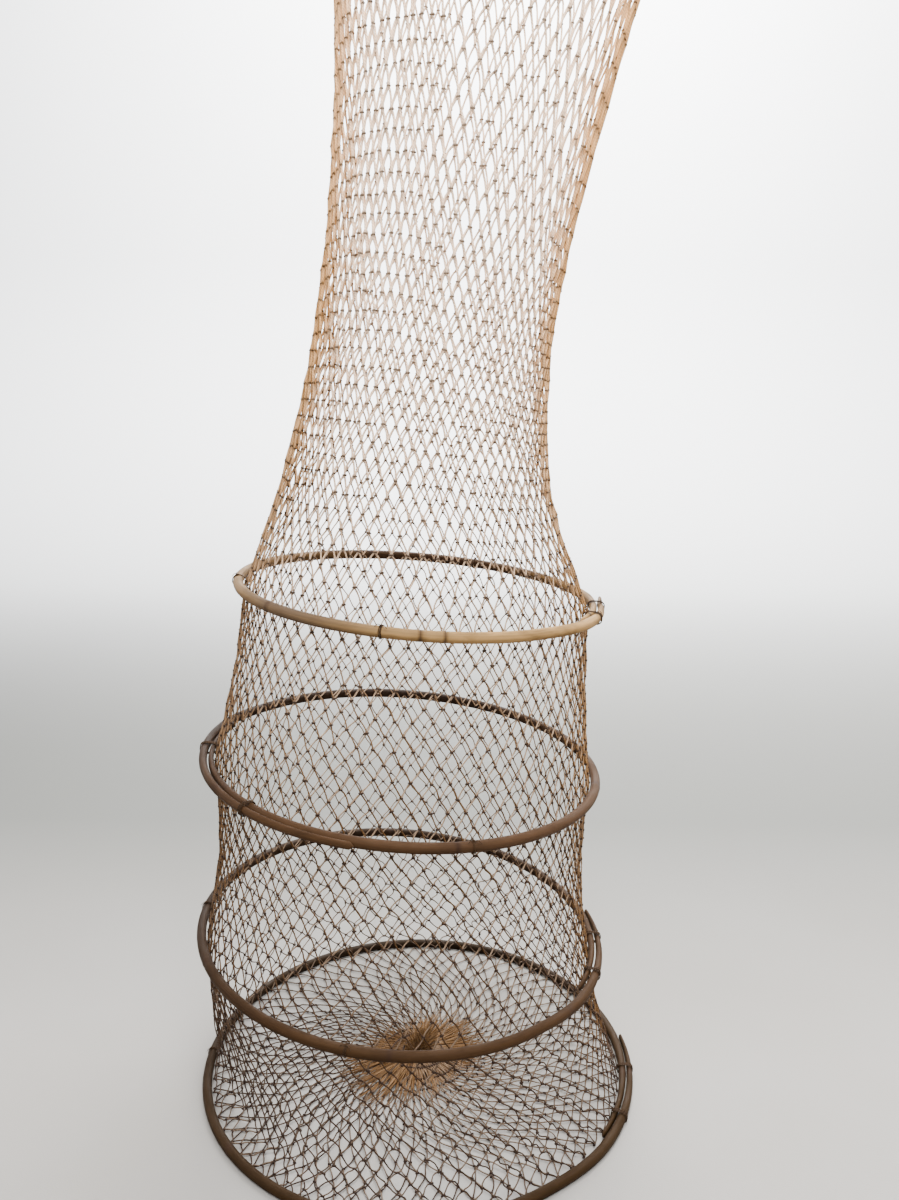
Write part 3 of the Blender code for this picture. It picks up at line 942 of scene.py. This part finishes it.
def selvedge():
    """The doubled twine, twisted on itself, that edges the mouth."""
    length, radius, shift = SLEEVE[-1]
    middle = Vector(HOOPS["top"]["middle"]) + Vector((shift, 0.0, length + SELVEDGE_RADIUS + CLEAR))
    parts = []
    angle = np.linspace(0, 2 * np.pi, SELVEDGE_STEPS)
    place = placed(middle, LEAN)
    for ply in range(2):
        twist = PLY_TWISTS * angle + ply * math.pi
        reach = radius - SLEEVE_INSET + PLY_APART * np.cos(twist)
        path = ring_points(place, reach, angle, PLY_APART * np.sin(twist))[None]
        points, quads, grain = tubes(path, PLY_RADIUS, unit(path - np.array(middle)), 6)
        parts.append((points, quads, tone_of(points, 0.0), grain))
    points, quads, tones, grain = joined(parts)
    piece = add_mesh("mouth_selvedge_twine", points, quads, NETTING, tones, grain)
    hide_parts("mouth_selvedge")
    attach(piece, "mouth")


def hoops():
    for label, hoop in HOOPS.items():
        piece = rod(label, hoop)
        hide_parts(f"{label}_hoop_rod")
        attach(piece, f"{label}_hoop")
        for number, place in enumerate(wrap_places(hoop), start=1):
            node = f"{label}_hoop_lashing_{number}"
            if number > len(LASHING_AT):
                node = f"{label}_hoop_net_tie_{number - len(LASHING_AT)}"
            piece = wrap(f"{node}_twine", hoop, place, label == "bottom")
            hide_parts(node)
            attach(piece, f"{label}_hoop")


# Studio


def studio():
    """A pale floor that curves up into a pale wall far behind, and soft lights."""
    floor = bpy.data.meshes.new("floor")
    profile = [(-6.0, 0.0)] + [
        (WALL_AT + WALL_CURVE * math.sin(t), WALL_CURVE - WALL_CURVE * math.cos(t))
        for t in np.linspace(0, math.pi / 2, 24)
    ] + [(WALL_AT + WALL_CURVE, 6.0)]
    corners = [(x, y, z) for y, z in profile for x in (-8.0, 8.0)]
    faces = [(2 * k, 2 * k + 1, 2 * k + 3, 2 * k + 2) for k in range(len(profile) - 1)]
    floor.from_pydata(corners, [], faces)
    floor.shade_smooth()
    g = Graph("pale_floor")
    place = g.add("ShaderNodeNewGeometry").outputs["Position"]
    cloth = g.noise(g.stretched(place, (3.0, 3.0, 3.0)), 1.0)
    colour = g.blend(g.ramp(cloth, 0.3, 0.8), linear(124, 120, 114), linear(132, 129, 125))
    depth = g.split(place)[1]
    # Painted shade: the floor greys into a band behind the net, which pales again towards the far wall.
    colour = g.blend(g.ramp(depth, 0.0, 0.5), colour, linear(88, 88, 84))
    # Painted shadow over the left of the floor and wall behind the net.
    left_shadow = g.math("MULTIPLY", g.ramp(g.split(place)[0], 0.1, -0.9), g.ramp(depth, -0.6, 0.8))
    colour = g.blend(g.math("MULTIPLY", left_shadow, 0.55), colour, linear(40, 40, 38))
    away = g.ramp(depth, 0.5, 3.6)
    colour = g.blend(g.math("MULTIPLY", away, away), colour, linear(242, 243, 244))
    weave = g.noise(g.stretched(place, (900.0, 900.0, 900.0)), 1.0)
    floor.materials.append(g.finish(colour, 0.9, weave, 0.0003))
    stage = bpy.data.objects.new("floor", floor)
    bpy.context.scene.collection.objects.link(stage)
    world = bpy.data.worlds.new("studio")
    world.use_nodes = True
    background = world.node_tree.nodes["Background"]
    background.inputs["Color"].default_value = (0.98, 0.98, 1.0, 1.0)
    background.inputs["Strength"].default_value = SKY
    bpy.context.scene.world = world
    for name, at, aim, size, power in LAMPS:
        light = bpy.data.lights.new(name, "AREA")
        light.size = size
        light.energy = power
        lamp = bpy.data.objects.new(name, light)
        lamp.location = at
        lamp.rotation_euler = (Vector(aim) - Vector(at)).to_track_quat("-Z", "Y").to_euler()
        bpy.context.scene.collection.objects.link(lamp)


def camera():
    view = bpy.data.cameras.new("camera")
    view.lens = LENS
    view.sensor_width = 36.0
    eye = bpy.data.objects.new("camera", view)
    eye.location = EYE
    pitched = Matrix.Rotation(math.radians(90.0 - PITCH), 4, "X")
    eye.rotation_euler = (pitched @ Matrix.Rotation(math.radians(ROLL), 4, "Z")).to_euler()
    bpy.context.scene.collection.objects.link(eye)
    bpy.context.scene.camera = eye


studio()
camera()
hoops()
sleeve()
bottom(walls())
gather()
selvedge()
gather_binding()
